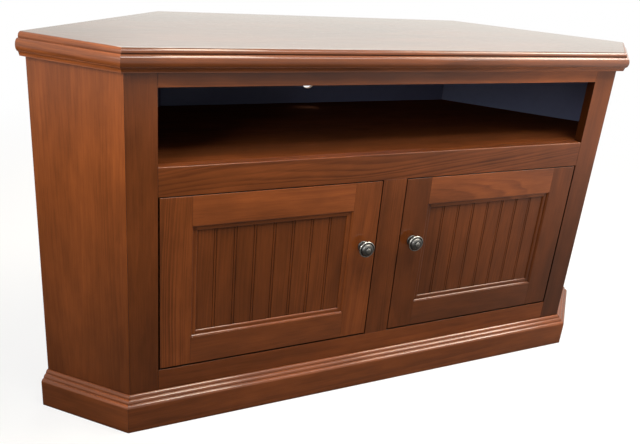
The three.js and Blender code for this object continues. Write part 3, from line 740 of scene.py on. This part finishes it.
class CABINET_OT_finish_face_frame(bpy.types.Operator):
    """Finish the stiles and rails of the face frame"""

    bl_idname = "cabinet.finish_face_frame"
    bl_label = "Finish face frame"

    def execute(self, context):
        # Painted light and shade: the right stile is drawn lighter upwards, the top rail lighter towards the
        # right, and the bottom rail darker at its left end
        upwards = LightFade(start=0.34, end=0.66, tone=0.86)
        to_the_right = LightFade(start=-0.25, end=0.4, tone=1.3)
        from_the_left_end = LightFade(start=-0.5, end=-0.15, tone=1.1)
        # The stiles' and bottom rail's edges that look into the openings are drawn darker: painted shade
        dress_board("left_stile", UP, FRONT, figure=0.45, tone=0.7, reveal=RIGHT)
        dress_board("right_stile", UP, FRONT, figure=0.5, tone=0.46, fade=upwards, reveal=RIGHT)
        dress_board("centre_stile", UP, FRONT, figure=0.6, tone=0.78, quarter=True, reveal=RIGHT)
        dress_board("top_rail", RIGHT, FRONT, figure=0.6, tone=0.76, fade=to_the_right)
        low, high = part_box("mid_rail")
        shelf_edge = (Vector((-math.inf, low.y, -math.inf)), Vector((math.inf, low.y, high.z)))
        streaks = math.radians(5)
        dress_board("mid_rail", RIGHT, FRONT, shelf_edge, figure=1.2, tone=0.8, slope=streaks)
        dress_board("bottom_rail", RIGHT, FRONT, figure=0.5, tone=0.75, fade=from_the_left_end, reveal=UP)
        return {"FINISHED"}


class CABINET_OT_finish_sides(bpy.types.Operator):
    """Finish the two canted side panels"""

    bl_idname = "cabinet.finish_sides"
    bl_label = "Finish side panels"

    def execute(self, context):
        dress_board("left_side_panel", UP, LEFT_CANT, figure=0.35, tone=1.15)
        dress_board("right_side_panel", UP, RIGHT_CANT, figure=0.35, tone=1.05)
        return {"FINISHED"}


class CABINET_OT_finish_plinth(bpy.types.Operator):
    """Finish the three reeded plinth boards"""

    bl_idname = "cabinet.finish_plinth"
    bl_label = "Finish plinth"

    def execute(self, context):
        # Painted light: the front plinth is drawn lighter towards the right
        to_the_right = LightFade(start=-0.2, end=0.4, tone=1.15)
        dress_board("front_plinth", RIGHT, FRONT, figure=0.6, tone=0.92, fade=to_the_right, gloss=0.9)
        dress_board("left_plinth", LEFT_SLANT, LEFT_CANT, figure=0.6, tone=1.35, gloss=0.9)
        dress_board("right_plinth", RIGHT_SLANT, RIGHT_CANT, figure=0.6, tone=0.9)
        return {"FINISHED"}


class CABINET_OT_finish_inside(bpy.types.Operator):
    """Finish the media shelf and the boards inside the cupboards"""

    bl_idname = "cabinet.finish_inside"
    bl_label = "Finish inside"

    def execute(self, context):
        # The media shelf is drawn darker than the other inside boards: painted shade
        dress_board("media_shelf", RIGHT, UP, figure=0.7, tone=0.58, gloss=0.0, dullness=0.5)
        dress_board("bottom_panel", RIGHT, UP, figure=0.6, tone=0.9)
        dress_board("centre_partition", UP, RIGHT, figure=0.6, tone=0.9)
        for side, slant in (("left", RIGHT_SLANT), ("right", LEFT_SLANT)):
            dress_board(f"{side}_shelf", RIGHT, UP, figure=0.6, tone=0.95)
            dress_board(f"{side}_partition_cleat", BACK, UP, figure=0.5, tone=0.95)
            dress_board(f"{side}_wall_cleat", slant, UP, figure=0.5, tone=0.95)
            dress_board(f"{side}_hinge_post", UP, BACK, figure=0.5, tone=0.9)
        return {"FINISHED"}


def thin_panel(name, inward):
    """Board painted on its inner side and left plain on its outer side."""
    colours = bpy.context.scene.cabinet_backs
    dark_fibre = (0.15, 0.08, 0.04)
    dark_cloud = (0.2, 0.11, 0.06)
    grey_dust = (0.05, 0.05, 0.055)
    material, tree, shader = new_material(name)
    place = object_place(tree)
    facing_in = vector_sums(tree, "DOT_PRODUCT", surface_normal(tree), tuple(inward))
    painted = spread(tree, facing_in, given=(0.4, 0.6))
    fibres = noise(tree, place, grain=420, detail=4, roughness=0.7)
    cloud = noise(tree, place, grain=9, detail=3)
    fibre_share = spread(tree, fibres, given=(0.3, 0.7), result=(0.0, 0.5))
    cloud_share = spread(tree, cloud, given=(0.3, 0.7), result=(0.0, 0.25))
    board = blend(tree, fibre_share, rgba(colours.board), rgba(dark_fibre))
    board = blend(tree, cloud_share, board, rgba(dark_cloud))
    dust = noise(tree, place, grain=60, detail=5)
    dust_share = spread(tree, dust, given=(0.45, 0.8), result=(0.0, 0.12))
    paint = blend(tree, dust_share, rgba(colours.paint), rgba(grey_dust))
    colour = blend(tree, painted, board, paint)
    roughness = spread(tree, cloud, given=(0.3, 0.7), result=(0.5, 0.62))
    finish_shader(tree, shader, colour, roughness, fibres, PANEL_RELIEF)
    return material


class CABINET_OT_finish_backs(bpy.types.Operator):
    """Finish the thin panels that close the cabinet behind"""

    bl_idname = "cabinet.finish_backs"
    bl_label = "Finish back panels"

    def execute(self, context):
        easing = context.scene.cabinet_backs.edge_radius
        inward = {"back_panel": FRONT, "left_wall_panel": RIGHT_CANT, "right_wall_panel": LEFT_CANT}
        for name, facing in inward.items():
            dress(name, thin_panel(name, facing), easing)
        return {"FINISHED"}


def door_outline(side):
    """The two far corners of a door's outline."""
    hinge_low, hinge_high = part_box(f"{side}_door_hinge_stile")
    latch_low, latch_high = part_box(f"{side}_door_latch_stile")
    low = Vector(min(pair) for pair in zip(hinge_low, latch_low))
    high = Vector(max(pair) for pair in zip(hinge_high, latch_high))
    return low, high


class CABINET_OT_finish_doors(bpy.types.Operator):
    """Finish the stiles, rails and beadboard panels of both doors"""

    bl_idname = "cabinet.finish_doors"
    bl_label = "Finish doors"

    def execute(self, context):
        left = door_outline("left")
        right = door_outline("right")
        # Painted light: the right door's hinge stile is drawn lighter upwards
        upwards = LightFade(start=0.14, end=0.32, tone=0.72)
        dress_board("left_door_hinge_stile", UP, FRONT, left, tone=1.02, quarter=True)
        dress_board("left_door_latch_stile", UP, FRONT, left, figure=0.5, tone=1.05)
        dress_board("left_door_top_rail", RIGHT, FRONT, left, figure=0.8, tone=1.28, gloss=0.9)
        dress_board("left_door_bottom_rail", RIGHT, FRONT, left, figure=0.4, tone=0.98, gloss=0.9)
        dress_board("left_door_beadboard", UP, FRONT, figure=0.6, tone=0.8)
        dress_board("right_door_hinge_stile", UP, FRONT, right, figure=0.5, tone=0.58, fade=upwards)
        dress_board("right_door_latch_stile", UP, FRONT, right, figure=0.5, tone=0.72)
        dress_board("right_door_top_rail", RIGHT, FRONT, right, figure=0.9, tone=1.2, gloss=0.9)
        dress_board("right_door_bottom_rail", RIGHT, FRONT, right, figure=0.5, tone=0.66, gloss=0.9)
        dress_board("right_door_beadboard", UP, FRONT, figure=0.5, tone=0.73)
        return {"FINISHED"}


def pewter(name, centre):
    """Antique pewter: bright where hands rub it, dark in the hollows of the turning."""
    colours = bpy.context.scene.cabinet_knobs
    knob_radius = 16.5 * MM
    polished = 0.24
    patina_roughness = 0.3
    rim = ((0.70, 0.72), (0.775, 1.0), (0.84, 1.0), (0.89, 0.0))
    turned_rings = ((0.0, 0.5), (0.28, 0.3), (0.345, 1.0), (0.42, 0.8), *rim)
    material, tree, shader = new_material(name)
    place = object_place(tree)
    from_axis = vector_sums(tree, "SUBTRACT", place, tuple(centre))
    from_axis = vector_sums(tree, "MULTIPLY", from_axis, tuple(RIGHT + UP))
    radius = sums(tree, "DIVIDE", vector_sums(tree, "LENGTH", from_axis), knob_radius)
    mottle = noise(tree, place, grain=420, detail=4, roughness=0.65)
    worn = spread(tree, mottle, given=(0.25, 0.6), result=(0.6, 1.0))
    stained = spread(tree, mottle, given=(0.5, 0.75), result=(0.0, 0.25))
    dark = total(tree, product(tree, ramp(tree, radius, turned_rings), worn), stained)
    dark = sums(tree, "MINIMUM", dark, 1.0)
    colour = blend(tree, dark, rgba(colours.metal), rgba(colours.patina))
    roughness = total(tree, polished, product(tree, dark, patina_roughness))
    finish_shader(tree, shader, colour, roughness, mottle, PEWTER_RELIEF)
    feed(tree, shader, {"Metallic": 1.0})
    return material


class CABINET_OT_finish_knobs(bpy.types.Operator):
    """Finish the two knobs in antique pewter"""

    bl_idname = "cabinet.finish_knobs"
    bl_label = "Finish knobs"

    def execute(self, context):
        radius = context.scene.cabinet_knobs.edge_radius
        for side in ("left", "right"):
            low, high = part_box(f"{side}_knob")
            dress(f"{side}_knob", pewter(f"{side}_knob", (low + high) / 2), radius)
        return {"FINISHED"}


def nickel_plate(name):
    """Bright nickel with a faint brushed grain and dull patches."""
    colours = bpy.context.scene.cabinet_hinges
    dull_nickel = (0.42, 0.4, 0.37)
    dull_roughness = 0.3
    material, tree, shader = new_material(name)
    place = object_place(tree)
    brushed = noise(tree, place, grain=(300, 2400, 2400))
    patches = noise(tree, place, grain=90, detail=3)
    dull = spread(tree, patches, given=(0.35, 0.7), result=(0.0, 0.35))
    colour = blend(tree, dull, rgba(colours.nickel), rgba(dull_nickel))
    streaks = spread(tree, brushed, given=(0.3, 0.7), result=(0.2, 0.3))
    roughness = total(tree, streaks, product(tree, dull, dull_roughness))
    finish_shader(tree, shader, colour, roughness, brushed, NICKEL_RELIEF)
    feed(tree, shader, {"Metallic": 1.0})
    return material


def ring_of(mesh, radius, height, sides):
    """A ring of corners about Z."""
    turns = (2 * math.pi * i / sides for i in range(sides))
    return [mesh.verts.new((radius * math.cos(turn), radius * math.sin(turn), height)) for turn in turns]


def cross_of(mesh, reach, half_width, height):
    """The twelve corners of a cross recess about Z."""
    corners = []
    for quarter in range(4):
        turn = Matrix.Rotation(quarter * math.pi / 2, 3, "Z")
        for x, y in ((reach, -half_width), (reach, half_width), (half_width, half_width)):
            corners.append(mesh.verts.new(turn @ Vector((x, y, height))))
    return corners


def loop_faces(mesh, lower, upper):
    """A band of faces between two rings with the same count."""
    for i, corner in enumerate(lower):
        after = (i + 1) % len(lower)
        mesh.faces.new((corner, lower[after], upper[after], upper[i]))


def loop_edges(mesh, ring):
    """The edges of a ring, made where they are missing."""
    pairs = zip(ring, ring[1:] + ring[:1])
    return [mesh.edges.get(pair) or mesh.edges.new(pair) for pair in pairs]


def screw_head_mesh(name, radius, height):
    """A pan head with a cross recess, its seat at z = 0."""
    sides = 24
    shoulder_share = 0.55
    crown_share = 0.8
    recess_reach = radius * 0.58
    recess_half_width = radius * 0.14
    recess_depth = height * 0.7
    mesh = bmesh.new()
    seat = ring_of(mesh, radius, 0, sides)
    shoulder = ring_of(mesh, radius, height * shoulder_share, sides)
    crown = ring_of(mesh, radius * crown_share, height, sides)
    mouth = cross_of(mesh, recess_reach, recess_half_width, height)
    floor_reach = recess_reach * crown_share
    floor = cross_of(mesh, floor_reach, recess_half_width * shoulder_share, height - recess_depth)
    loop_faces(mesh, seat, shoulder)
    loop_faces(mesh, shoulder, crown)
    bmesh.ops.bridge_loops(mesh, edges=loop_edges(mesh, crown) + loop_edges(mesh, mouth))
    loop_faces(mesh, mouth, floor)
    mesh.faces.new(floor)
    mesh.faces.new(seat)
    bmesh.ops.recalc_face_normals(mesh, faces=mesh.faces)
    data = bpy.data.meshes.new(name)
    mesh.to_mesh(data)
    mesh.free()
    return data


def add_plate_screws(side, level, metal):
    """Two screws through a mounting plate, driven into the hinge post."""
    sizes = bpy.context.scene.cabinet_hinges
    low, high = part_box(f"{side}_{level}_hinge_plate")
    outward = RIGHT if side == "left" else -RIGHT
    seat_x = high.x if side == "left" else low.x
    middle = (low + high) / 2
    for end, word in ((-1, "lower"), (1, "upper")):
        name = f"{side}_{level}_plate_{word}_screw"
        data = screw_head_mesh(name, sizes.screw_head_radius, sizes.screw_head_height)
        screw = bpy.data.objects.new(name, data)
        bpy.context.scene.collection.objects.link(screw)
        seat = Vector((seat_x, middle.y, middle.z + end * sizes.screw_pitch / 2))
        turn = UP.rotation_difference(outward).to_matrix().to_4x4()
        data.transform(Matrix.Translation(seat) @ turn)
        data.materials.append(metal)
        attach(screw, "root")


class CABINET_OT_finish_hinges(bpy.types.Operator):
    """Finish the concealed hinges and add their plate screws"""

    bl_idname = "cabinet.finish_hinges"
    bl_label = "Finish hinges"

    def execute(self, context):
        radius = context.scene.cabinet_hinges.edge_radius
        metal = nickel_plate("hinge_nickel")
        for side in ("left", "right"):
            for level in ("lower", "upper"):
                for piece in ("cup", "pin", "arm", "plate"):
                    dress(f"{side}_{level}_hinge_{piece}", metal, radius)
                add_plate_screws(side, level, metal)
            dress(f"{side}_knob_screw", metal, radius)
        return {"FINISHED"}


def floor_material():
    """Pale floor. To the camera and in reflections it is nearly white, and it keeps the shadow."""
    stage = bpy.context.scene.cabinet_stage
    near_left = (-0.8, -0.6, 0)
    material = bpy.data.materials.new("floor")
    tree = empty_tree(material)
    place = object_place(tree)
    path = tree_node(tree, "ShaderNodeLightPath").outputs
    seen = sums(tree, "MAXIMUM", path["Is Camera Ray"], path["Is Transmission Ray"])
    glossy = path["Is Glossy Ray"]

    # The floor's own colour, which takes the shadow
    cloud = spread(tree, noise(tree, place, grain=0.6), given=(0.3, 0.7), result=(0.98, 1.0))
    bounce = spread(tree, seen, result=(stage.floor_bounce, 1.0))
    level = product(tree, bounce, spread(tree, glossy, result=(1.0, 0.5)), cloud)
    channels = {i: product(tree, level, channel) for i, channel in enumerate(stage.floor_colour)}
    tint = tree_node(tree, "ShaderNodeCombineColor", channels)
    plain = tree_node(tree, "ShaderNodeBsdfDiffuse", {"Color": tint.outputs["Color"]})

    # White further out, and in reflections towards the right
    white = tree_node(tree, "ShaderNodeEmission", {"Color": WHITE, "Strength": 1.0})
    from_middle = vector_sums(tree, "LENGTH", place)
    from_left = vector_sums(tree, "LENGTH", vector_sums(tree, "SUBTRACT", place, near_left))
    white_seen = product(tree, seen, spread(tree, from_middle, given=(0.9, 2.4), result=(0.8, 1.0)))
    white_mirrored = product(tree, glossy, spread(tree, from_left, given=(0.9, 3.2), result=(0.0, 0.8)))
    share = sums(tree, "MAXIMUM", white_seen, white_mirrored)
    parts = {0: share, 1: plain.outputs["BSDF"], 2: white.outputs["Emission"]}
    mix = tree_node(tree, "ShaderNodeMixShader", parts)
    tree_node(tree, "ShaderNodeOutputMaterial", {"Surface": mix.outputs["Shader"]})
    return material


def light_world(strength):
    """An even world that shows white to the camera and in reflections, there a little warmer."""
    world = bpy.data.worlds.new("studio")
    bpy.context.scene.world = world
    tree = empty_tree(world)
    path = tree_node(tree, "ShaderNodeLightPath").outputs
    seen = sums(tree, "MAXIMUM", path["Is Camera Ray"], path["Is Glossy Ray"])
    seen = sums(tree, "MAXIMUM", seen, path["Is Transmission Ray"])
    colour = blend(tree, path["Is Glossy Ray"], WHITE, WARM_WHITE)
    level = total(tree, strength, product(tree, seen, 1.0 - strength))
    background = tree_node(tree, "ShaderNodeBackground", {"Color": colour, "Strength": level})
    tree_node(tree, "ShaderNodeOutputWorld", {"Surface": background.outputs["Background"]})


def add_lamp(name, lamp, power, colour):
    """A soft lamp, turned to its target. One that doesn't shine shows in no reflection."""
    data = bpy.data.lights.new(name, "AREA")
    data.shape = "RECTANGLE"
    data.size = lamp.width
    data.size_y = lamp.height
    data.energy = power
    data.spread = math.radians(lamp.spread)
    data.color = colour
    hung = bpy.data.objects.new(name, data)
    hung.location = lamp.place
    hung.rotation_euler = (Vector(lamp.target) - Vector(lamp.place)).to_track_quat("-Z", "Y").to_euler()
    hung.visible_camera = False
    hung.visible_glossy = lamp.shines
    bpy.context.scene.collection.objects.link(hung)


def lay_floor(side_length):
    """A square floor just under the plinth."""
    half = side_length / 2
    data = bpy.data.meshes.new("floor")
    corners = [(-half, -half, 0), (half, -half, 0), (half, half, 0), (-half, half, 0)]
    data.from_pydata(corners, [], [(0, 1, 2, 3)])
    data.materials.append(floor_material())
    floor = bpy.data.objects.new("floor", data)
    floor.location.z = -FLOOR_GAP
    bpy.context.scene.collection.objects.link(floor)


class CABINET_OT_set_stage(bpy.types.Operator):
    """Lay the floor and hang the lamps"""

    bl_idname = "cabinet.set_stage"
    bl_label = "Set stage"

    def execute(self, context):
        stage = context.scene.cabinet_stage
        lay_floor(stage.floor_size)
        light_world(stage.ambient)
        for name, lamp in LAMPS.items():
            power = getattr(stage, f"{lamp.setting}_power")
            colour = getattr(stage, f"{lamp.setting}_colour", WHITE[:3])
            if lamp.setting == "edge":
                power *= lamp.width
            add_lamp(name, lamp, power, colour)
        return {"FINISHED"}


class CABINET_OT_set_camera(bpy.types.Operator):
    """Place the camera where the photograph was taken"""

    bl_idname = "cabinet.set_camera"
    bl_label = "Set camera"

    def execute(self, context):
        view = context.scene.cabinet_camera
        flat = math.cos(view.pitch)
        sight = Vector((math.sin(view.yaw) * flat, math.cos(view.yaw) * flat, math.sin(view.pitch)))
        level = Vector((math.cos(view.yaw), -math.sin(view.yaw), 0))
        upright = level.cross(sight)
        right = level * math.cos(view.roll) + upright * math.sin(view.roll)
        up = upright * math.cos(view.roll) - level * math.sin(view.roll)
        data = bpy.data.cameras.new("photo_camera")
        data.sensor_width = SENSOR_WIDTH
        data.lens = view.focal_length
        camera = bpy.data.objects.new("photo_camera", data)
        turn = Matrix((right, up, -sight)).transposed().to_4x4()
        camera.matrix_world = Matrix.Translation(Vector(view.place)) @ turn
        context.scene.collection.objects.link(camera)
        context.scene.camera = camera
        context.scene.view_settings.view_transform = "Standard"
        return {"FINISHED"}


class CABINET_PT_panel(bpy.types.Panel):
    """The steps that finish the cabinet, in the 3D view's sidebar"""

    bl_idname = "CABINET_PT_panel"
    bl_label = "Corner tv cabinet"
    bl_space_type = "VIEW_3D"
    bl_region_type = "UI"
    bl_category = "Cabinet"

    def draw(self, context):
        for step in STEPS:
            self.layout.operator(step.bl_idname)


STEPS = (
    CABINET_OT_finish_top,
    CABINET_OT_finish_face_frame,
    CABINET_OT_finish_sides,
    CABINET_OT_finish_plinth,
    CABINET_OT_finish_inside,
    CABINET_OT_finish_backs,
    CABINET_OT_finish_doors,
    CABINET_OT_finish_knobs,
    CABINET_OT_finish_hinges,
    CABINET_OT_set_stage,
    CABINET_OT_set_camera,
)

SETTINGS = {
    "cabinet_stain": StainSettings,
    "cabinet_backs": BackPanelSettings,
    "cabinet_knobs": KnobSettings,
    "cabinet_hinges": HingeSettings,
    "cabinet_stage": StageSettings,
    "cabinet_camera": PhotoCameraSettings,
}


def register():
    for name, group in SETTINGS.items():
        bpy.utils.register_class(group)
        setattr(bpy.types.Scene, name, PointerProperty(type=group))
    for step in STEPS:
        bpy.utils.register_class(step)
    bpy.utils.register_class(CABINET_PT_panel)


def unregister():
    bpy.utils.unregister_class(CABINET_PT_panel)
    for step in reversed(STEPS):
        bpy.utils.unregister_class(step)
    for name, group in SETTINGS.items():
        delattr(bpy.types.Scene, name)
        bpy.utils.unregister_class(group)


def clear_start_objects():
    """Removes what a new Blender file starts with, and keeps the frame."""
    kept = set(frame["nodes"].values()) | set(frame["bodies"].values())
    for thing in list(bpy.data.objects):
        if thing not in kept:
            bpy.data.objects.remove(thing)


def main():
    clear_start_objects()
    bpy.context.view_layer.update()
    register()
    for step in STEPS:
        group, action = step.bl_idname.split(".")
        getattr(getattr(bpy.ops, group), action)()
    bpy.context.view_layer.update()


if __name__ == "__main__":
    main()
